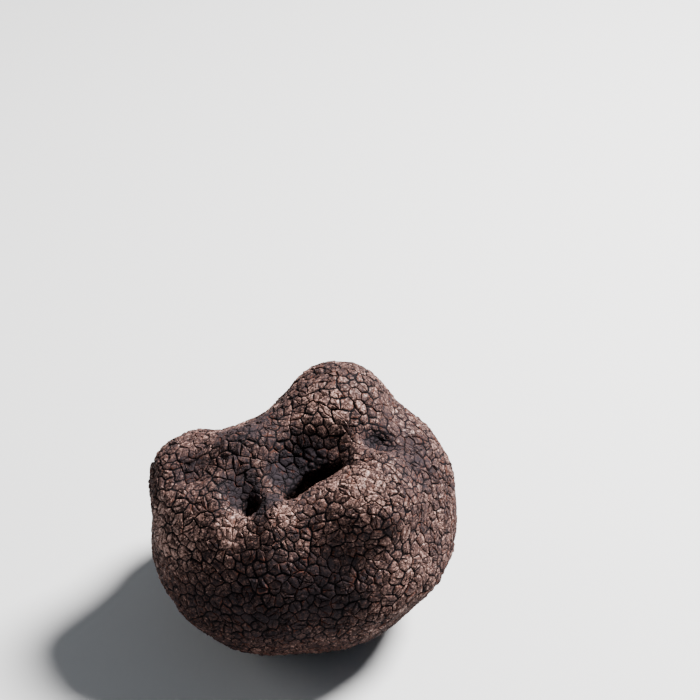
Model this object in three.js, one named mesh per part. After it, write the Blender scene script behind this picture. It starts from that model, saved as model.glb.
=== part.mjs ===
// A whole black truffle: one solid, lobed body, cleft and pitted on top, covered with low polygonal warts.
// Millimetres, +Z up. The origin is on the surface that the truffle rests on, under the middle of its box.
import * as THREE from "three";
import { ImprovedNoise } from "three/addons/math/ImprovedNoise.js";

// ---- driving dimensions ----
const wartSpacing = 2.45; // between the middles of neighbouring warts, less in folds
const wartHeight = 0.28; // peak of a wart above the smooth skin
const crackDepth = 0.28; // crack between warts, below the smooth skin
const wartWander = 0.55; // how far a wart strays from an even layout, as a share of the spacing
const flatSpotDepth = 1.5; // how much of the underside is pressed flat where it rests
const crackWander = 0.6; // how far a crack's corner strays from the middle of its three warts, as a share
const patchSize = 4.5; // warts are larger in some patches of about this size, and smaller in others
const patchiness = 0.32; // how much larger or smaller, as a share
const foldSpacing = 0.56; // share of the spacing left in and beside the cleft and the pits
const foldReach = 3; // how far from them the warts are smaller
const seed = 11;

const at = (x, y, z) => new THREE.Vector3(x, y, z);

// The body is a blend of rounded lobes. Each has a middle, three half sizes and the width of its blend.
// Places are measured from the middle of the body.
const lobes = [
  { middle: at(0.2, -1.8, -3.6), half: at(27.1, 23.2, 20.4), blend: 0 }, // belly
  { middle: at(6.1, 6.9, 15.4), half: at(10.2, 10.6, 10.2), blend: 8.5 }, // knob
  { middle: at(-3, 4.6, 12), half: at(6.6, 6.4, 6.8), blend: 5 }, // knob foot
  { middle: at(-17.9, -0.7, 6.9), half: at(9.1, 10.5, 9), blend: 5 }, // left lobe
  { middle: at(16.4, 0.9, 5.8), half: at(10, 11.8, 9.9), blend: 6 }, // right shoulder
  { middle: at(-9, -4, 12.5), half: at(7.2, 7, 7), blend: 4 }, // middle lobe
  { middle: at(11, -10.5, 10.9), half: at(9.2, 9, 7.6), blend: 5 }, // crest
  { middle: at(-9, -8.5, -5.7), half: at(13.4, 14, 12.2), blend: 8 }, // low left
  { middle: at(-3.8, -14.2, 10.8), half: at(3, 3, 3.2), blend: 3 }, // nub
  { middle: at(-15.5, -10.2, 5.5), half: at(8.4, 8, 7.4), blend: 5 }, // left shelf
  { middle: at(-11, 12, -7), half: at(12, 11, 10), blend: 5 }, // back left
  { middle: at(13, 11, -7), half: at(11, 11, 11), blend: 6 }, // back right
];

// Round-bottomed hollows, each a line through points, with a radius and the width of its blend.
const hollows = [
  {
    line: [
      at(-1.8, -9, 17.1),
      at(4.6, -7.9, 19.8),
    ],
    radius: 4.5,
    blend: 4,
  }, // scoop
  {
    line: [
      at(-9.2, -9.4, 18.6),
      at(-9.7, -11.8, 14.8),
    ],
    radius: 2.4,
    blend: 4,
  }, // dent above the left pit
  {
    line: [
      at(-21.1, -6.7, 15.9),
      at(-19.8, -7.6, 15),
    ],
    radius: 2,
    blend: 4.5,
  }, // lobe dent
  {
    line: [
      at(-16.2, -10.9, 17.7),
      at(-17.7, -14.9, 14),
      at(-18.4, -19.4, 9.5),
    ],
    radius: 1.4,
    blend: 3.4,
  }, // lobe valley
  {
    line: [
      at(1, 26, 12),
      at(3, 25.5, 0),
      at(2, 23, -12),
    ],
    radius: 3,
    blend: 6,
  }, // back valley
  {
    line: [
      at(-12.5, 10.5, 17.1),
      at(-9.6, 9.6, 20.7),
    ],
    radius: 6,
    blend: 3.5,
  }, // saddle
  {
    line: [
      at(39, -30.3, -29.6),
      at(36.5, -33.3, -30.6),
    ],
    radius: 30,
    blend: 4,
  }, // flat at the lower right
];

const pits = [
  {
    line: [
      at(12.8, -3.9, 18.3),
      at(14.2, -3.1, 16.7),
    ],
    radius: 1.7,
    blend: 2.4,
  }, // right pit
  {
    line: [
      at(17.7, -11.2, 14.7),
      at(17.8, -10.7, 14.1),
    ],
    radius: 0.7,
    blend: 1.8,
  }, // small pit
  {
    line: [
      at(-10, -13.2, 13.8),
      at(-8.2, -13.2, 9),
    ],
    radius: 1.9,
    blend: 2.2,
  }, // left pit
];

// The cleft: a slot that follows a line of points and runs inwards along one direction.
const cleft = {
  line: [
    at(7, -9.4, 20.2),
    at(4.8, -10, 19.6),
    at(1.3, -11.4, 19.2),
    at(-2, -13.7, 16.5),
    at(-2.8, -14.3, 15.8),
  ],
  halfWidths: [0.6, 1.1, 1.3, 1.2, 0.8],
  inwards: at(0, 0.44, -0.9).normalize(),
  depth: 10.5,
  mouth: 6,
  blend: 1.5,
};

// Uneven lumps all over, from large to small.
const lumps = [
  { size: 13, height: 0.9 },
  { size: 6.5, height: 0.45 },
];

// Rubbed places, where the warts are worn low.
const wornPlaces = [
  { middle: at(10.6, -13.3, 16.9), radius: 4.6, rub: 0.45 },
  { middle: at(-18, -19.7, 7.5), radius: 3.2, rub: 0.4 },
];

// ---- smooth body ----
function ellipsoidGap(point, { middle, half }) {
  const q = point.clone().sub(middle);
  const near = q.clone().divide(half).length();
  const steep = q.divide(half).divide(half).length();
  return steep < 1e-9 ? -half.x : (near * (near - 1)) / steep;
}

// Signed gap to a rounded groove along a line through points.
function hollowGap(point, { line, radius }) {
  let gap = Infinity;
  for (let i = 0; i + 1 < line.length; i++) {
    const along = line[i + 1].clone().sub(line[i]);
    const from = point.clone().sub(line[i]);
    const share = THREE.MathUtils.clamp(from.dot(along) / along.lengthSq(), 0, 1);
    gap = Math.min(gap, from.addScaledVector(along, -share).length() - radius);
  }
  return gap;
}

// Signed gap to the cleft. Its half width changes from point to point.
function cleftGap(point, { line, halfWidths, inwards, depth, mouth }) {
  let gap = Infinity;
  for (let i = 0; i + 1 < line.length; i++) {
    const along = line[i + 1].clone().sub(line[i]);
    const across = along.clone().addScaledVector(inwards, -along.dot(inwards));
    const from = point.clone().sub(line[i]);
    const share = THREE.MathUtils.clamp(from.dot(across) / across.lengthSq(), 0, 1);
    from.addScaledVector(along, -share);
    from.addScaledVector(inwards, -THREE.MathUtils.clamp(from.dot(inwards), -mouth, depth));
    const halfWidth = THREE.MathUtils.lerp(halfWidths[i], halfWidths[i + 1], share);
    gap = Math.min(gap, from.length() - halfWidth);
  }
  return gap;
}

// The smaller of two gaps, rounded where they meet.
function blend(a, b, width) {
  const h = Math.max(width - Math.abs(a - b), 0) / width;
  return Math.min(a, b) - (h * h * width) / 4;
}

const noise = new ImprovedNoise();
function unevenness({ x, y, z }) {
  return lumps.reduce((sum, { size, height }) => {
    return sum + height * noise.noise(x / size, y / size, z / size);
  }, 0);
}

// Signed gap to the smooth skin: below zero inside the flesh.
function skinGap(point) {
  const [body, ...others] = lobes;
  let gap = ellipsoidGap(point, body);
  for (const lobe of others) gap = blend(gap, ellipsoidGap(point, lobe), lobe.blend);
  gap += unevenness(point);
  for (const hollow of [...hollows, ...pits]) gap = -blend(-gap, hollowGap(point, hollow), hollow.blend);
  return -blend(-gap, cleftGap(point, cleft), cleft.blend);
}

const probe = 0.05;
const probeWays = [[1, 1, 1], [1, -1, -1], [-1, 1, -1], [-1, -1, 1]].map((v) => new THREE.Vector3(...v));
function outwards(point) {
  const sum = new THREE.Vector3();
  for (const way of probeWays) {
    sum.addScaledVector(way, skinGap(point.clone().addScaledVector(way, probe)));
  }
  return sum.normalize();
}

function toSkin(point, steps = 2) {
  for (let i = 0; i < steps; i++) point.addScaledVector(outwards(point), -skinGap(point));
  return point;
}

// ---- where the warts stand ----
// Numbers from 0 to 1, the same ones on every run.
let state = seed;
function random() {
  state = (Math.imul(state, 1664525) + 1013904223) >>> 0;
  return state / 2 ** 32;
}

// A cube in six tetrahedra round its long diagonal, by corner number.
const sixths = [[0, 1, 3, 7], [0, 3, 2, 7], [0, 2, 6, 7], [0, 6, 4, 7], [0, 4, 5, 7], [0, 5, 1, 7]];
const gridStep = 0.9;
const gridHalf = 31;
const leastGap = 0.02; // keeps the skin a little off the grid's corners

function gridPlace(node, across) {
  const layer = Math.floor(node / across);
  return new THREE.Vector3(Math.floor(layer / across), layer % across, node % across)
    .multiplyScalar(gridStep)
    .subScalar(gridHalf);
}

// The smooth skin as fine triangles: each small tetrahedron is cut where its corners change sides.
function fineSkin() {
  const across = Math.ceil((2 * gridHalf) / gridStep);
  const gaps = Float64Array.from({ length: across ** 3 }, (_, node) => {
    const gap = skinGap(gridPlace(node, across));
    return gap < 0 ? Math.min(gap, -leastGap) : Math.max(gap, leastGap);
  });
  const points = [];
  const triangles = [];
  const found = new Map();
  const crossing = (inner, outer) => {
    const key = Math.min(inner, outer) * gaps.length + Math.max(inner, outer);
    if (!found.has(key)) {
      found.set(key, points.length);
      const share = gaps[inner] / (gaps[inner] - gaps[outer]);
      points.push(gridPlace(inner, across).lerp(gridPlace(outer, across), share));
    }
    return found.get(key);
  };
  const addPiece = (corners) => {
    const inner = corners.filter((node) => gaps[node] < 0);
    const outer = corners.filter((node) => gaps[node] > 0);
    if (!inner.length || !outer.length) return;
    const rim = inner.flatMap((from, i) => {
      const ends = i % 2 ? [...outer].reverse() : outer;
      return ends.map((to) => crossing(from, to));
    });
    const [p, q, r] = rim.map((v) => points[v]);
    const away = gridPlace(outer[0], across).sub(gridPlace(inner[0], across));
    if (faceNormal(p, q, r).dot(away) < 0) rim.reverse();
    for (let i = 1; i + 1 < rim.length; i++) triangles.push([rim[0], rim[i], rim[i + 1]]);
  };
  for (let first = 0; first < gaps.length; first++) {
    const [z, y] = [first % across, Math.floor(first / across) % across];
    if (z === across - 1 || y === across - 1 || first + across ** 2 >= gaps.length) continue;
    const corners = Array.from({ length: 8 }, (_, c) => {
      return first + (c & 1) * across ** 2 + ((c >> 1) & 1) * across + (c >> 2);
    });
    if (corners.every((node) => gaps[node] < 0 === gaps[first] < 0)) continue;
    for (const sixth of sixths) addPiece(sixth.map((c) => corners[c]));
  }
  return { points, triangles };
}

// Square to the triangle, twice its area long.
function faceNormal(a, b, c) {
  return b.clone().sub(a).cross(c.clone().sub(a));
}

// Room between the middles of two warts. They are smaller in and beside the cleft and the pits.
function spacingAt(point) {
  const fold = Math.min(...pits.map((pit) => hollowGap(point, pit)), cleftGap(point, cleft));
  const open = THREE.MathUtils.smoothstep(fold, 0, foldReach);
  const { x, y, z } = point.clone().divideScalar(patchSize);
  const patch = 1 + patchiness * noise.noise(x, y, z);
  return wartSpacing * patch * THREE.MathUtils.lerp(foldSpacing, 1, open);
}

// Joins the ends of edges shorter than a share of the spacing, but never opens, pinches or folds the skin.
const mostNeighbours = 9;
const leastTurn = 0.25; // cosine of the most that a triangle may turn in one join
function joinShortEdges({ points, triangles }, share) {
  const fans = points.map(() => new Set());
  triangles.forEach((corners, t) => corners.forEach((v) => fans[v].add(t)));
  const ringOf = (v) => new Set([...fans[v]].flatMap((t) => triangles[t]).filter((w) => w !== v));
  const turnsOver = (from, other, to) => [...fans[from]].some((t) => {
    if (fans[other].has(t)) return false;
    const before = triangles[t].map((v) => points[v]);
    const after = triangles[t].map((v) => (v === from ? to : points[v]));
    const [was, is] = [faceNormal(...before), faceNormal(...after)];
    return was.dot(is) < leastTurn * was.length() * is.length();
  });
  const join = (a, b) => {
    const middle = points[a].clone().lerp(points[b], 0.5);
    if (points[a].distanceTo(points[b]) > share * spacingAt(middle)) return;
    const [ringA, ringB] = [ringOf(a), ringOf(b)];
    const shared = [...ringA].filter((v) => ringB.has(v)).length;
    if (shared !== 2 || ringA.size + ringB.size - 2 * shared > mostNeighbours) return;
    if (turnsOver(a, b, middle) || turnsOver(b, a, middle)) return;
    for (const t of [...fans[b]]) {
      if (fans[a].has(t)) {
        for (const v of triangles[t]) fans[v].delete(t);
        triangles[t] = null;
      } else {
        triangles[t] = triangles[t].map((v) => (v === b ? a : v));
        fans[a].add(t);
      }
    }
    fans[b].clear();
    points[a] = middle;
  };
  for (let t = 0; t < triangles.length; t++) {
    for (let turn = 0; turn < 3 && triangles[t]; turn++) {
      join(triangles[t][turn], triangles[t][(turn + 1) % 3]);
    }
  }
  const kept = points.flatMap((_, v) => (fans[v].size ? [v] : []));
  const place = new Map(kept.map((v, i) => [v, i]));
  return {
    points: kept.map((v) => points[v]),
    triangles: triangles.filter(Boolean).map((corners) => corners.map((v) => place.get(v))),
  };
}

// Each edge once, with the two triangles beside it.
const edgeKey = (a, b) => Math.min(a, b) * 2 ** 20 + Math.max(a, b);
function edgesOf(triangles) {
  const edges = new Map();
  triangles.forEach((corners, t) => {
    corners.forEach((a, i) => {
      const key = edgeKey(a, corners[(i + 1) % 3]);
      if (!edges.has(key)) edges.set(key, []);
      edges.get(key).push(t);
    });
  });
  return edges;
}

// The corners of the left triangle, starting with the one that the right triangle lacks.
function cornersFrom(left, right) {
  const turn = left.findIndex((v) => !right.includes(v));
  return [0, 1, 2].map((i) => left[(turn + i) % 3]);
}

function cornerAngle(points, at, a, b) {
  return points[a].clone().sub(points[at]).angleTo(points[b].clone().sub(points[at]));
}

// Swaps an edge for the other diagonal wherever that makes rounder triangles.
function tidyTriangles({ points, triangles }, passes) {
  for (let pass = 0; pass < passes; pass++) {
    const edges = edgesOf(triangles);
    const touched = new Set();
    for (const [left, right] of [...edges.values()]) {
      if (touched.has(left) || touched.has(right)) continue;
      const [c, a, b] = cornersFrom(triangles[left], triangles[right]);
      const [d] = cornersFrom(triangles[right], triangles[left]);
      if (edges.has(edgeKey(c, d))) continue;
      if (cornerAngle(points, c, a, b) + cornerAngle(points, d, a, b) < Math.PI + 1e-3) continue;
      const [p, q, r, s] = [c, a, d, b].map((v) => points[v]);
      if (faceNormal(p, q, r).dot(faceNormal(p, r, s)) < 0) continue;
      triangles[left] = [c, a, d];
      triangles[right] = [c, d, b];
      edges.set(edgeKey(c, d), [left, right]);
      touched.add(left).add(right);
    }
    if (!touched.size) return;
  }
}

// Moves each point along the skin towards the middle of its neighbours.
function relax({ points, triangles }, pull) {
  const sums = points.map(() => new THREE.Vector3());
  const counts = points.map(() => 0);
  for (const corners of triangles) {
    corners.forEach((v, i) => {
      sums[v].add(points[corners[(i + 1) % 3]]);
      counts[v] += 1;
    });
  }
  points.forEach((point, v) => {
    const move = sums[v].divideScalar(counts[v]).sub(point).multiplyScalar(pull);
    const out = outwards(point);
    toSkin(point.add(move.addScaledVector(out, -move.dot(out))));
  });
}

// Thins the fine skin out, a little at a time, until its points are one to a wart.
function spreadWarts() {
  let skin = fineSkin();
  for (const share of [0.25, 0.4]) {
    skin = joinShortEdges(skin, share);
    tidyTriangles(skin, 4);
  }
  for (const share of [0.55, 0.65, 0.7, 0.7, 0.7, 0.7, 0.7, 0.7]) {
    skin = joinShortEdges(skin, share);
    tidyTriangles(skin, 4);
    relax(skin, 0.5);
  }
  for (const point of skin.points) {
    const shift = new THREE.Vector3(random() - 0.5, random() - 0.5, random() - 0.5);
    toSkin(point.addScaledVector(shift, wartWander * spacingAt(point)), 3);
  }
  for (let round = 0; round < 2; round++) {
    tidyTriangles(skin, 8);
    relax(skin, 0.25);
  }
  tidyTriangles(skin, 8);
  return skin;
}

// ---- warts ----
// Share of full relief: less on small warts, on worn places and in tight folds, where it has no room.
const freeRoom = 2;
const leastRelief = 0.1;
function reliefAt(point, out) {
  const gap = skinGap(point.clone().addScaledVector(out, freeRoom));
  const room = THREE.MathUtils.clamp(gap / freeRoom, leastRelief, 1);
  const worn = wornPlaces.map(({ middle, radius, rub }) => {
    return rub * THREE.MathUtils.smoothstep(radius - point.distanceTo(middle), 0, radius / 2);
  });
  return room * (spacingAt(point) / wartSpacing) * (1 - Math.max(0, ...worn));
}

// A random size between two shares of the usual one.
const unevenly = (size) => size * THREE.MathUtils.lerp(0.7, 1.3, random());

function raised(point, height) {
  const out = outwards(point);
  return point.clone().addScaledVector(out, height * reliefAt(point, out));
}

// Every wart is a low pyramid. Its foot corners lie in the cracks, one in each triangle of warts.
function wartedSkin() {
  const { points, triangles } = spreadWarts();
  const feet = triangles.map((corners) => {
    const pulls = corners.map(() => 1 + crackWander * (2 * random() - 1));
    const total = pulls.reduce((sum, pull) => sum + pull);
    const foot = new THREE.Vector3();
    corners.forEach((v, i) => foot.addScaledVector(points[v], pulls[i] / total));
    return raised(toSkin(foot), -unevenly(crackDepth));
  });
  const peaks = points.map((point) => raised(point, unevenly(wartHeight)));
  const faces = [];
  for (const [left, right] of edgesOf(triangles).values()) {
    const [, a, b] = cornersFrom(triangles[left], triangles[right]);
    const [footLeft, footRight] = [left, right].map((t) => peaks.length + t);
    faces.push([a, footRight, footLeft], [b, footLeft, footRight]);
  }
  return { vertices: [...peaks, ...feet], faces };
}

// Puts the origin under the middle of the box and presses the lowest skin flat.
function setDown(vertices) {
  const box = new THREE.Box3().setFromPoints(vertices);
  const middle = box.getCenter(new THREE.Vector3());
  for (const vertex of vertices) {
    vertex.x -= middle.x;
    vertex.y -= middle.y;
    vertex.z = Math.max(0, vertex.z - box.min.z - flatSpotDepth);
  }
}

const { vertices, faces } = wartedSkin();
setDown(vertices);

const skin = new THREE.BufferGeometry();
skin.setAttribute("position", new THREE.Float32BufferAttribute(vertices.flatMap((v) => v.toArray()), 3));
skin.setIndex(faces.flat());
skin.computeVertexNormals();

const rind = new THREE.MeshStandardMaterial({
  color: 0x4a352c,
  roughness: 0.78,
  metalness: 0,
  flatShading: true,
});
const truffle = new THREE.Mesh(skin, rind);
truffle.name = "truffle";

const part = new THREE.Group();
part.add(truffle);
export default part;
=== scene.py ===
import math
import random
import bmesh
import bpy
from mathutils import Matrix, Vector, noise


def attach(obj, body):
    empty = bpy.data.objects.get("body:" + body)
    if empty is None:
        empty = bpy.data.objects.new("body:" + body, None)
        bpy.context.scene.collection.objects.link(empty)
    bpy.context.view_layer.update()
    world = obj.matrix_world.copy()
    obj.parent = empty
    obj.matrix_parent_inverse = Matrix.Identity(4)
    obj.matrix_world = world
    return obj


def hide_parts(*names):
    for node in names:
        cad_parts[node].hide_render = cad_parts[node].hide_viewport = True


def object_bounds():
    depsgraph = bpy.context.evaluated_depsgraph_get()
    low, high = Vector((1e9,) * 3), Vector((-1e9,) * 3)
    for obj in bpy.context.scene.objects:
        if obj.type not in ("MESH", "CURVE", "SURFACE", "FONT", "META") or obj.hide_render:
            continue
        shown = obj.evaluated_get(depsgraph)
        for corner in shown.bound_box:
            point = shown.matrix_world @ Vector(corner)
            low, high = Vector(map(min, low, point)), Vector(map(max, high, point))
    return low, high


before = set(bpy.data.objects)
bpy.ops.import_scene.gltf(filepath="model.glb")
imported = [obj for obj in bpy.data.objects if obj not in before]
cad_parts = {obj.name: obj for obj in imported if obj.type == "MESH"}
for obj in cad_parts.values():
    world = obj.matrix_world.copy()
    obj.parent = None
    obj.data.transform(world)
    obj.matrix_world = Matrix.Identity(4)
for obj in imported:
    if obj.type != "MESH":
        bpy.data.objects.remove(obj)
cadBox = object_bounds()
print("frame loaded")

mm = 0.001
bodyMiddle = Vector((-0.22, 1.35, 23.10)) * mm


def takeAlone(thing):
    bpy.ops.object.select_all(action="DESELECT")
    thing.select_set(True)
    bpy.context.view_layer.objects.active = thing


def editMesh(thing):
    return bmesh.from_edit_mesh(thing.data)


def selectWhere(thing, kind, layerName, wanted):
    # selects the points or edges whose number in a layer is wanted
    bpy.ops.mesh.select_all(action="DESELECT")
    bpy.ops.mesh.select_mode(type=kind)
    mesh = editMesh(thing)
    parts = mesh.verts if kind == "VERT" else mesh.edges
    layer = parts.layers.float[layerName]
    for part in parts:
        part.select_set(wanted(part[layer]))
    bmesh.update_edit_mesh(thing.data)


truffleShape = {
    "seed": 7,
    "weld": 1e-6,  # metres, closer than which two points are one
    "skinLevels": 2,  # how often the smooth copy is divided
    "crackBend": (1.3 * mm, 0.7 * mm),  # size and strength of the bends in the cracks
    "pieceRoom": 0.92 * mm,  # half width of a piece: a wart of twice the area is cracked in two
    "mostPieces": 4,
    "pieceStray": 0.5,  # how far the number of pieces and the ends of their cracks stray
    "offMiddle": 0.35,  # how far the cracks within a wart may meet from its middle, as a share
    "seamBend": 0.16 * mm,  # how far the middle of such a crack strays sideways
    "seam": (0.22, 0.38, 0.55),  # height of those cracks as a share, their mark and width against the others
    "wartTone": 0.5,  # share of a piece's tone that it has from its wart
    "gape": (2.6 * mm, 1.5),  # size and strength of what opens and closes the cracks between warts
    "gapeLimits": (0.5, 1.6),
    "closedMark": 0.3,  # how far the narrow cracks fade
    "rings": (  # each in from a crack: width, height as a share of the wart's, mark up to 1, slant
        (0.25 * mm, 0.38, 0.75, 0.05),
        (0.26 * mm, 0.50, 1.0, 0.13),
    ),
    "mostInward": 0.5,  # of the way to the middle of a piece, for one ring
    "leastWidth": 0.1 * mm,  # half width below which a piece leans no more steeply
    "uneven": 0.2,  # how far the width and height of a corner stray, as a share
    "worn": (  # places rubbed smooth, where the cracks fade: middle from the body's, reach
        ((10, -14.8, 17.2), 6),
        ((-3, -17.3, 12.4), 3),
        ((-11.5, -18, 9.5), 4.5),
    ),
    "wornMark": 0.6,  # how far they fade there
    "tilt": (1.8 * mm, 0.16 * mm),  # size and strength of what tilts whole warts
    "wobble": (0.5 * mm, 0.10 * mm),  # of the sideways unevenness
    "crumble": (0.4 * mm, 0.10 * mm),  # of the lumps on the warts
    "crease": 38,  # degrees, past which an edge stays sharp
}


def peaksOf(mesh):
    # walks from wart to wart over the edges between them, from the highest point that isn't a corner
    # between three warts
    cornerEdges = 6
    first = max(mesh.verts, key=lambda point: (len(point.link_edges) != cornerEdges) * point.co.z)
    peaks = {first}
    queue = [first]
    while queue:
        peak = queue.pop()
        for face in peak.link_faces:
            foot = [corner for corner in face.verts if corner != peak]
            crack = next(edge for edge in face.edges if peak not in edge.verts)
            for beyond in crack.link_faces:
                other = next(corner for corner in beyond.verts if corner not in foot)
                if other not in peaks:
                    peaks.add(other)
                    queue.append(other)
    return peaks


def halfWidth(face):
    return math.sqrt(face.calc_area() / math.pi)


def openWarts(truffle, draw):
    # takes the peak off each wart, which leaves one face to a wart, and keeps how high it stood
    mesh = editMesh(truffle)
    heights = mesh.faces.layers.float.new("height")
    for peak in peaksOf(mesh):
        peak.select_set(True)
        rim = [corner for face in peak.link_faces for corner in face.verts if corner != peak]
        middle = sum((corner.co for corner in rim), Vector()) / len(rim)
        for face in peak.link_faces:
            face[heights] = (peak.co - middle).length
    bmesh.update_edit_mesh(truffle.data)
    bpy.ops.mesh.dissolve_verts()
    mesh = editMesh(truffle)
    tones = mesh.faces.layers.float.new("tone")
    for face in mesh.faces:
        face[tones] = draw.random()
    print("warts", len(mesh.faces))


def smoothSkin(truffle, levels):
    # a smooth copy of the opened form, which the bent cracks are laid back on
    takeAlone(truffle)
    bpy.ops.object.duplicate()
    skin = bpy.context.active_object
    rounding = skin.modifiers.new("rounding", "SUBSURF")
    rounding.levels = levels
    bpy.ops.object.modifier_apply(modifier=rounding.name)
    takeAlone(truffle)
    return skin


def bendCracks(truffle, shape):
    # halves the cracks between warts of five sides or more, and bends them within the skin
    skin = smoothSkin(truffle, shape["skinLevels"])
    bpy.ops.object.mode_set(mode="EDIT")
    bpy.ops.mesh.select_mode(type="EDGE")
    bpy.ops.mesh.select_all(action="DESELECT")
    mesh = editMesh(truffle)
    for edge in mesh.edges:
        edge.select_set(all(len(face.verts) > 4 for face in edge.link_faces))
    bmesh.update_edit_mesh(truffle.data)
    bpy.ops.mesh.subdivide(number_cuts=1)
    bpy.ops.object.mode_set(mode="OBJECT")
    displace(truffle, "crackBend", *shape["crackBend"], "RGB_TO_XYZ")
    layBack = truffle.modifiers.new("layBack", "SHRINKWRAP")
    layBack.target = skin
    bpy.ops.object.modifier_apply(modifier=layBack.name)
    takeAlone(skin)
    bpy.ops.object.delete()
    takeAlone(truffle)


def ringRound(middle):
    # the corners round a wart poked into triangles, in order
    following = {}
    for face in middle.link_faces:
        corners = list(face.verts)
        start = corners.index(middle)
        following[corners[start - 2]] = corners[start - 1]
    ring = [next(iter(following))]
    while len(ring) < len(following):
        ring.append(following[ring[-1]])
    return ring


def crackWarts(truffle, shape, draw):
    # cracks each large wart in pieces, from a place near its middle
    mesh = editMesh(truffle)
    cracks = mesh.edges.layers.float.new("crack")
    for edge in mesh.edges:
        edge[cracks] = 1
    bmesh.update_edit_mesh(truffle.data)
    bpy.ops.mesh.select_all(action="SELECT")
    bpy.ops.mesh.poke(offset=0)
    mesh = editMesh(truffle)
    rims = mesh.verts.layers.float.new("rim")
    closed = mesh.edges.layers.float.new("closed")
    cracks = mesh.edges.layers.float["crack"]
    for corner in mesh.verts:
        corner[rims] = any(edge[cracks] for edge in corner.link_edges)
    middles = [corner for corner in mesh.verts if not corner[rims]]
    stray = shape["pieceStray"]
    for middle in middles:
        area = sum(face.calc_area() for face in middle.link_faces)
        wanted = area / (math.pi * shape["pieceRoom"] ** 2) + draw.uniform(-stray, stray)
        pieces = min(shape["mostPieces"], round(wanted))
        ring = ringRound(middle)
        middle.co = middle.co.lerp(draw.choice(ring).co, draw.uniform(0, shape["offMiddle"]))
        first = draw.randrange(len(ring))
        ends = [first + len(ring) * k / pieces + draw.uniform(-stray, stray) for k in range(pieces)]
        cracked = {ring[round(end) % len(ring)] for end in ends}
        if len(cracked) < 2:
            middle[rims] = -1  # the wart stays whole, so its middle goes
            continue
        for edge in middle.link_edges:
            edge[closed] = edge.other_vert(middle) not in cracked
    selectWhere(truffle, "VERT", "rim", lambda value: value < 0)
    bpy.ops.mesh.dissolve_verts()
    selectWhere(truffle, "EDGE", "closed", lambda value: value > 0)
    bpy.ops.mesh.dissolve_edges(use_verts=False)
    selectWhere(truffle, "EDGE", "crack", lambda value: not value)
    bpy.ops.mesh.subdivide(number_cuts=1)
    mesh = editMesh(truffle)
    rims = mesh.verts.layers.float["rim"]
    for corner in mesh.verts:
        if 0 < corner[rims] < 1:  # new, between rim and middle
            along = corner.link_edges[0].other_vert(corner).co - corner.co
            sideways = along.cross(corner.normal).normalized()
            corner.co += sideways * draw.uniform(-shape["seamBend"], shape["seamBend"])
            corner[rims] = 0


def finishPieces(truffle, ownWart, draw):
    # gives each piece its own tone, part its wart's, and the way that it leans
    mesh = editMesh(truffle)
    tones = mesh.faces.layers.float["tone"]
    turns = mesh.faces.layers.float.new("turn")
    for face in mesh.faces:
        face[tones] = ownWart * face[tones] + (1 - ownWart) * draw.random()
        face[turns] = draw.uniform(0, 2 * math.pi)
    bmesh.update_edit_mesh(truffle.data)
    print("pieces", len(mesh.faces))


def strays(draw, shape):
    return draw.uniform(1 - shape["uneven"], 1 + shape["uneven"])


def makeRing(truffle, width, height, mark, slant, shape, draw):
    # draws the corners of each piece in towards its middle, because a plain inset folds over where the
    # piece is narrow, and writes on them how far they rise and what the rind's finish reads
    bpy.ops.mesh.inset(use_individual=True, thickness=0)
    mesh = editMesh(truffle)
    heights, tones, turns = (mesh.faces.layers.float[name] for name in ("height", "tone", "turn"))
    lift, rise, tone, gape = (mesh.verts.layers.float[name] for name in ("lift", "rise", "tone", "gape"))
    for face in mesh.faces:
        if not face.select:
            continue
        middle = face.calc_center_median_weighted()
        for corner in face.verts:
            way = middle - corner.co
            wide = width * corner[gape] * strays(draw, shape)
            corner.co += way * min(shape["mostInward"], wide / max(way.length, shape["weld"]))
        lean = Vector((math.cos(face[turns]), math.sin(face[turns]), math.cos(2 * face[turns])))
        lean *= slant / max(halfWidth(face), shape["leastWidth"])
        for corner in face.verts:
            leaning = min(slant, max(-slant, lean.dot(corner.co - middle)))
            corner[lift] = face[heights] * (height * strays(draw, shape) + leaning)
            corner[rise] = mark
            corner[tone] = face[tones]


def wornAt(point, spots):
    # 1 in the middle of a worn place, 0 past its reach
    shares = ((point - bodyMiddle - Vector(middle) * mm).length / (reach * mm) for middle, reach in spots)
    return math.sqrt(max(0, 1 - min(shares)))


def markSeams(truffle, shape, draw):
    # the cracks between warts gape more in some places than in others; those within a wart are
    # shallow and narrow
    mesh = editMesh(truffle)
    heights, tones = (mesh.faces.layers.float[name] for name in ("height", "tone"))
    names = ("lift", "rise", "tone", "gape", "rim")
    lift, rise, tone, gape, rim = (mesh.verts.layers.float[name] for name in names)
    size, strength = shape["gape"]
    least, most = shape["gapeLimits"]
    seamLift, seamMark, seamWidth = shape["seam"]
    for face in mesh.faces:
        for corner in face.verts:
            corner[tone] = face[tones]
            if not corner[rim]:
                corner[lift] = face[heights] * seamLift
                corner[rise] = seamMark * strays(draw, shape)
                corner[gape] = seamWidth
            else:
                corner[gape] = min(most, max(least, 1 + strength * noise.noise(corner.co / size)))
                faded = shape["closedMark"] * (1 - corner[gape])
                corner[rise] = max(faded, shape["wornMark"] * wornAt(corner.co, shape["worn"]))
    bmesh.update_edit_mesh(truffle.data)


def raiseWarts(truffle):
    # the lift of each corner becomes a weight, a millimetre being 1
    group = truffle.vertex_groups.new(name="lift")
    for corner, lift in enumerate(truffle.data.attributes["lift"].data):
        group.add([corner], min(1, lift.value / mm), "REPLACE")
    modifier = truffle.modifiers.new("raise", "DISPLACE")
    modifier.vertex_group = group.name
    modifier.strength = mm
    modifier.mid_level = 0
    bpy.ops.object.modifier_apply(modifier=modifier.name)


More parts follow.
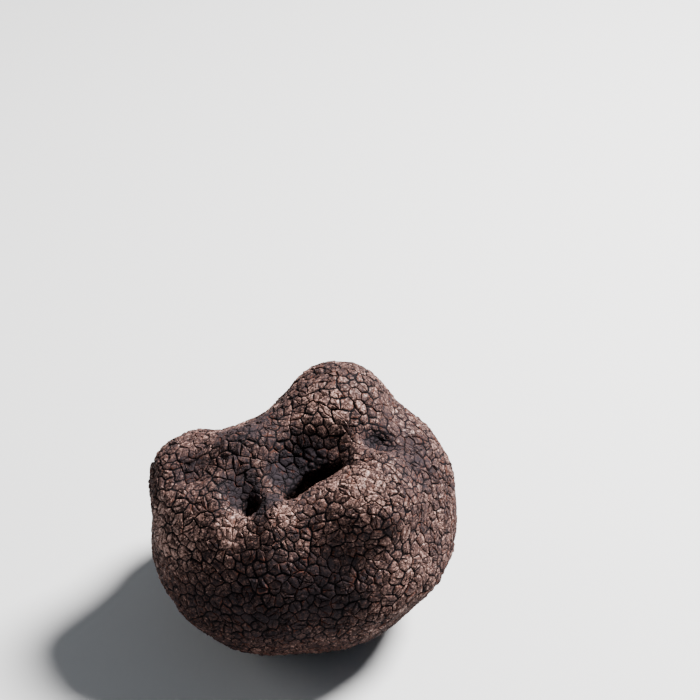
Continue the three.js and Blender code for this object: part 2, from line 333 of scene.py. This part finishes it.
def displace(thing, name, size, strength, direction):
    texture = bpy.data.textures.new(name, "CLOUDS")
    texture.noise_basis = "IMPROVED_PERLIN"
    texture.noise_scale = size
    texture.cloud_type = "COLOR"
    modifier = thing.modifiers.new(name, "DISPLACE")
    modifier.texture = texture
    modifier.texture_coords = "LOCAL"
    modifier.direction = direction
    modifier.strength = strength
    modifier.mid_level = 0.5
    bpy.ops.object.modifier_apply(modifier=name)


def pressIn(truffle, box):
    # what stands out past the box is pressed flat against its side, as the underside is where it rests
    bpy.ops.object.mode_set(mode="EDIT")
    bpy.ops.mesh.select_mode(type="VERT")
    for axis in range(3):
        for level, way in zip((box[0][axis], box[1][axis]), (-1, 1)):
            mesh = editMesh(truffle)
            for corner in mesh.verts:
                corner.select_set((corner.co[axis] - level) * way > 0)
            bmesh.update_edit_mesh(truffle.data)
            flat = [0 if k == axis else 1 for k in range(3)]
            side = [level if k == axis else 0 for k in range(3)]
            bpy.ops.transform.resize(value=flat, center_override=side)
    bpy.ops.object.mode_set(mode="OBJECT")


def makeTruffle(shape):
    draw = random.Random(shape["seed"])
    takeAlone(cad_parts["truffle"])
    bpy.ops.object.duplicate()
    truffle = bpy.context.active_object
    truffle.name = "wartyTruffle"
    bpy.ops.mesh.customdata_custom_splitnormals_clear()
    bpy.ops.object.mode_set(mode="EDIT")
    bpy.ops.mesh.select_all(action="SELECT")
    bpy.ops.mesh.remove_doubles(threshold=shape["weld"])
    bpy.ops.mesh.select_mode(type="VERT")
    bpy.ops.mesh.select_all(action="DESELECT")
    openWarts(truffle, draw)
    bpy.ops.object.mode_set(mode="OBJECT")
    bendCracks(truffle, shape)
    bpy.ops.object.mode_set(mode="EDIT")
    crackWarts(truffle, shape, draw)
    finishPieces(truffle, shape["wartTone"], draw)
    for name in ("lift", "rise", "tone", "gape"):
        editMesh(truffle).verts.layers.float.new(name)
    markSeams(truffle, shape, draw)
    bpy.ops.mesh.select_mode(type="FACE")
    bpy.ops.mesh.select_all(action="SELECT")
    for width, height, mark, slant in shape["rings"]:
        makeRing(truffle, width, height, mark, slant, shape, draw)
    bpy.ops.mesh.poke(offset=0)
    bpy.ops.object.mode_set(mode="OBJECT")
    raiseWarts(truffle)
    print("warts raised")
    displace(truffle, "tilt", *shape["tilt"], "RGB_TO_XYZ")
    displace(truffle, "wobble", *shape["wobble"], "RGB_TO_XYZ")
    displace(truffle, "crumble", *shape["crumble"], "NORMAL")
    pressIn(truffle, cadBox)
    bpy.ops.object.shade_smooth_by_angle(angle=math.radians(shape["crease"]))
    print("triangles", sum(len(face.vertices) - 2 for face in truffle.data.polygons))
    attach(truffle, "root")
    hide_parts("truffle")
    return truffle


class Socket:
    # a shader value that stands in plain expressions, which add the Math nodes
    def __init__(self, finish, out):
        self.finish = finish
        self.out = out

    def maths(self, operation, values, clamp=False):
        return self.finish.node("ShaderNodeMath", {"operation": operation, "use_clamp": clamp}, values)

    def __add__(self, other):
        return self.maths("ADD", [self, other])

    def __sub__(self, other):
        return self.maths("SUBTRACT", [self, other])

    def __rsub__(self, other):
        return self.maths("SUBTRACT", [other, self])

    def __mul__(self, other):
        return self.maths("MULTIPLY", [self, other])

    __radd__ = __add__
    __rmul__ = __mul__

    def clamped(self):
        return self.maths("ADD", [self, 0], clamp=True)


class Finish:
    # a material and its nodes
    def __init__(self, name):
        self.material = bpy.data.materials.new(name)
        self.material.use_nodes = True
        self.nodes = self.material.node_tree.nodes
        self.links = self.material.node_tree.links
        self.shader = self.nodes["Principled BSDF"]

    def node(self, kind, settings, values, out=0):
        made = self.nodes.new(kind)
        for key, value in settings.items():
            setattr(made, key, value)
        self.fill(made, values)
        return Socket(self, made.outputs[out])

    def fill(self, made, values):
        pairs = values.items() if isinstance(values, dict) else enumerate(values)
        for key, value in pairs:
            if isinstance(value, Socket):
                self.links.new(value.out, made.inputs[key])
            else:
                made.inputs[key].default_value = value

    def place(self):
        return self.node("ShaderNodeTexCoord", {}, {}, "Object")

    def attribute(self, name):
        return self.node("ShaderNodeAttribute", {"attribute_name": name}, {}, "Fac")

    def stretched(self, vector, scale):
        return self.node("ShaderNodeVectorMath", {"operation": "SCALE"}, {"Vector": vector, "Scale": scale})

    def shifted(self, vector, other):
        return self.node("ShaderNodeVectorMath", {"operation": "ADD"}, [vector, other])

    def distance(self, vector, middle):
        return self.node("ShaderNodeVectorMath", {"operation": "DISTANCE"}, [vector, middle], "Value")

    def noise(self, vector, size, detail, roughness, out="Fac"):
        values = {"Vector": vector, "Scale": 1 / size, "Detail": detail, "Roughness": roughness}
        return self.node("ShaderNodeTexNoise", {}, values, out)

    def cells(self, vector, size, settings, out):
        return self.node("ShaderNodeTexVoronoi", settings, {"Vector": vector, "Scale": 1 / size}, out)

    def ramp(self, value, low, high):
        values = {"Value": value, "From Min": low, "From Max": high}
        return self.node("ShaderNodeMapRange", {"interpolation_type": "SMOOTHSTEP"}, values)

    def mixed(self, factor, first, second):
        # a Mix node keeps a socket for each kind of value, and a colour's are these
        firstColour, secondColour, colourOut = 6, 7, 2
        values = {"Factor": factor, firstColour: first, secondColour: second}
        return self.node("ShaderNodeMix", {"data_type": "RGBA"}, values, colourOut)

    def bump(self, height):
        return self.node("ShaderNodeBump", {}, {"Height": height, "Distance": 1})


rindLook = {
    # the cracks' own dark colour, deepened with painted shade of the crevices
    "crack": (0.0038, 0.0032, 0.0038, 1),
    # dark, tan and pale are the skin's tones by lightness; painted light and painted shade from the patches
    # move places among them
    "dark": (0.0130, 0.0094, 0.0106, 1),
    # bluish tint of painted shade, mixed in where the patches paint the skin darker
    "paintedShadeTint": (0.0124, 0.0093, 0.0110, 1),
    "tan": (0.061, 0.0315, 0.0255, 1),
    "pale": (0.245, 0.142, 0.116, 1),
    "rust": (0.070, 0.019, 0.008, 1),
    "specular": 0.05,
    "roughness": (0.85, 1),  # of a plate and of a crack
    "gloss": 0.35,
    "glossRoughness": 0.5,
    "bend": (0.7 * mm, 2, 0.5),  # size, detail and roughness of a noise, as of those below
    "bendStrength": 0.45 * mm,
    "breaks": (2.2 * mm, 2, 0.55),  # where the fine cracks come and go
    "cloudy": (4.5 * mm, 3, 0.6),
    "mottle": (0.42 * mm, 4, 0.7),
    "smudge": (1.2 * mm, 2, 0.55),
    "rustPlaces": (1.5 * mm, 2, 0.55),
    "grain": (0.2 * mm, 4, 0.65),
    "lump": (0.7 * mm, 2, 0.55),
    "grainDepth": 0.07 * mm,
    "lumpDepth": 0.16 * mm,
    "fineCrackSize": 0.85 * mm,
    "fineCrackDepth": 0.12 * mm,
    "fineCrackShade": 0.75,
    "facetSize": 0.6 * mm,
    "facetDepth": 0.07 * mm,
    "shares": (0.4, 0.6, 3, 0.9, 0.3),  # of the lightness: tone, cloudy, mottle, smudge, fleck
    "darker": 2.15,  # what is taken off their sum
    "breakRamp": (0.38, 0.6),
    "fineCrackRamp": (0, 0.14),
    "tanRamp": (0, 0.75),  # lightness over which dark turns to tan
    "paleRamp": (0.6, 1.15),
    "glossRamp": (0.4, 1.1),
    "depthRamp": (0.26, 0.66),  # mark of a corner over which a crack turns to plate
    "ragged": (0.6, 0.5),  # how far the mottle frays that edge, and its own middle
    "rimRamps": ((0.3, 0.75), (0.75, 1)),  # marks between which a rim may rust
    "rustRamp": (0.5, 0.68),
    "rustStrength": 0.55,
    "paintedShadeTintStrength": 1.6,
    "patchCore": 0.3,  # share of its reach over which a patch is even
    "patches": (  # painted light and painted shade, with a few worn pale places: middle from the body's, reach, how much lighter
        # painted light on the end of the knob, which faces the lamp
        ((4.5, -0.5, 22.5), 7, 0.33),  # end of the knob
        # the crest is a worn pale place made paler still with painted light; the nub and the low left place
        # are worn pale places
        ((9.3, -15, 16.8), 8.5, 0.25),  # crest before the cleft
        ((-3, -17.3, 12.4), 3.5, 0.4),  # nub
        ((-12, -18, 9.5), 5, 0.25),
        # painted light on the left side and on the lower right
        ((-22, -14, 6), 9, 0.35),
        ((20, -17, -1), 11, 0.15),
        # painted shade from here on: the bowl in the knob's shadow, the cleft, the pits and round them, the
        # saddle, the shoulder and the belly
        ((1, -5, 15.5), 6, -0.4),  # bowl
        ((-2.7, -7, 13.4), 4.8, -0.7),
        ((-5, -14, 13), 3, -0.4),  # from the cleft to the left pit
        ((-10, -10.3, 12.5), 5, -0.45),
        ((-7, -16, 12), 2.5, -0.3),
        ((12.5, -3, 16.5), 3.5, -0.45),  # right pit
        ((-19, -5.5, 14), 5, -0.2),
        ((-12.5, -11.5, 13), 3.5, -0.15),
        ((-9, -1, 18), 9, -0.26),  # saddle
        ((19, -4, 15.5), 9, -0.2),  # shoulder
        ((-2, -25, -1), 14, -0.25),  # belly
        ((7, -23, 2), 9, -0.2),
        ((-13, -21, -7), 12, -0.12),
    ),
}


def makeRind(look):
    rind = Finish("truffleRind")
    place = rind.place()
    rise = rind.attribute("rise")
    tone = rind.attribute("tone")
    bend = rind.noise(place, *look["bend"], "Color")
    bent = rind.shifted(place, rind.stretched(bend, look["bendStrength"]))
    broken = rind.ramp(rind.noise(place, *look["breaks"]), *look["breakRamp"])
    edge = rind.cells(bent, look["fineCrackSize"], {"feature": "DISTANCE_TO_EDGE"}, "Distance")
    fineCrack = broken * (1 - rind.ramp(edge, *look["fineCrackRamp"]))
    facet = rind.cells(bent, look["facetSize"], {"distance": "CHEBYCHEV"}, "Distance")
    # the colour of a cell counts by its grey, as one number
    fleck = rind.cells(bent, look["facetSize"], {"distance": "CHEBYCHEV"}, "Color")
    cloudy = rind.noise(place, *look["cloudy"])
    mottle = rind.noise(bent, *look["mottle"])
    smudge = rind.noise(place, *look["smudge"])
    parts = zip(look["shares"], (tone, cloudy, mottle, smudge, fleck))
    lightness = sum(share * value for share, value in parts) - look["darker"]
    # painted light and painted shade from the patches raise and lower the lightness, and painted shade also
    # turns the colour bluish
    paintedShadeTint = 0
    for middle, reach, lighter in look["patches"]:
        away = rind.distance(place, Vector(middle) * mm + bodyMiddle)
        patch = 1 - rind.ramp(away, look["patchCore"] * reach * mm, reach * mm)
        lightness = lightness + lighter * patch
        if lighter < 0:
            paintedShadeTint = paintedShadeTint - lighter * patch
    top = rind.mixed(rind.ramp(lightness, *look["tanRamp"]), look["dark"], look["tan"])
    top = rind.mixed(rind.ramp(lightness, *look["paleRamp"]), top, look["pale"])
    top = rind.mixed((look["paintedShadeTintStrength"] * paintedShadeTint).clamped(), top, look["paintedShadeTint"])
    rimStart, rimEnd = look["rimRamps"]
    rim = rind.ramp(rise, *rimStart) * (1 - rind.ramp(rise, *rimEnd))
    rusty = rim * rind.ramp(rind.noise(place, *look["rustPlaces"]), *look["rustRamp"])
    top = rind.mixed(rusty.clamped() * look["rustStrength"], top, look["rust"])
    # cracks and fine cracks turn to the crack colour: partly their own dark colour, partly painted crevice
    # shade
    fray, even = look["ragged"]
    depth = 1 - rind.ramp(rise + fray * (mottle - even), *look["depthRamp"])
    shade = (depth + fineCrack * look["fineCrackShade"] * (1 - depth)).clamped()
    grain = rind.noise(place, *look["grain"])
    lump = rind.noise(bent, *look["lump"])
    height = grain * look["grainDepth"] + lump * look["lumpDepth"] - facet * look["facetDepth"]
    height = height - fineCrack * look["fineCrackDepth"]
    smooth, rough = look["roughness"]
    rind.fill(rind.shader, {
        "Specular IOR Level": look["specular"],
        "Coat Weight": look["gloss"] * (1 - shade) * rind.ramp(lightness, *look["glossRamp"]),
        "Coat Roughness": look["glossRoughness"],
        "Base Color": rind.mixed(shade, top, look["crack"]),
        "Roughness": smooth + (rough - smooth) * shade,
        "Normal": rind.bump(height),
    })
    return rind.material


stageLook = {
    "floorSize": 4.0,
    "floorLevel": -0.05 * mm,  # just under the flat spot, so that the two don't share a plane
    "floorColour": (0.40, 0.395, 0.39, 1),
    "floorRoughness": 0.9,
    "lens": 100,
    "sensor": 36,
    "nearest": 10 * mm,
    "pitch": 34.5,
    "range": 350 * mm,
    "pixels": 700,
    "middleAt": (303, 508),  # the pixel at which the middle of the body stands
    "key": {"towards": (0.56, 0.27, 0.78), "away": 0.6, "size": 0.2, "watts": 34},
    "fill": {"towards": (-1, 0.2, 0.35), "away": 0.8, "size": 0.5, "watts": 3},
    "sky": {"colour": (0.72, 0.84, 1, 1), "strength": 0.22},
}


def makeFloor(look):
    bpy.ops.object.select_all(action="DESELECT")
    bpy.ops.mesh.primitive_plane_add(size=look["floorSize"], location=(0, 0, look["floorLevel"]))
    floor = bpy.context.active_object
    floor.name = "floor"
    pale = Finish("paleFloor")
    pale.fill(pale.shader, {"Base Color": look["floorColour"], "Roughness": look["floorRoughness"]})
    floor.data.materials.append(pale.material)


def makeCamera(look):
    pitch = math.radians(look["pitch"])
    focal = look["lens"] / look["sensor"] * look["pixels"]
    across, down = ((at - look["pixels"] / 2) / focal * look["range"] for at in look["middleAt"])
    forward = Vector((0, math.cos(pitch), -math.sin(pitch)))
    up = Vector((0, math.sin(pitch), math.cos(pitch)))
    offset = Vector((across, 0, 0)) - down * up + look["range"] * forward
    bpy.ops.object.camera_add(location=bodyMiddle - offset, rotation=(math.pi / 2 - pitch, 0, 0))
    camera = bpy.context.active_object
    camera.data.lens = look["lens"]
    camera.data.sensor_width = look["sensor"]
    camera.data.clip_start = look["nearest"]
    bpy.context.scene.camera = camera


def makeLight(name, light):
    towards = Vector(light["towards"]).normalized()
    turn = towards.to_track_quat("Z", "Y").to_euler()
    bpy.ops.object.light_add(type="AREA", location=bodyMiddle + light["away"] * towards, rotation=turn)
    lamp = bpy.context.active_object
    lamp.name = name
    lamp.data.shape = "DISK"
    lamp.data.size = light["size"]
    lamp.data.energy = light["watts"]


def makeSky(sky):
    world = bpy.data.worlds.new("studio")
    bpy.context.scene.world = world
    world.use_nodes = True
    background = world.node_tree.nodes["Background"]
    background.inputs["Color"].default_value = sky["colour"]
    background.inputs["Strength"].default_value = sky["strength"]


truffle = makeTruffle(truffleShape)
print("truffle shaped")
truffle.data.materials.clear()
truffle.data.materials.append(makeRind(rindLook))
print("rind finished")
makeFloor(stageLook)
makeCamera(stageLook)
makeLight("key", stageLook["key"])
makeLight("fill", stageLook["fill"])
makeSky(stageLook["sky"])
print("stage ready")
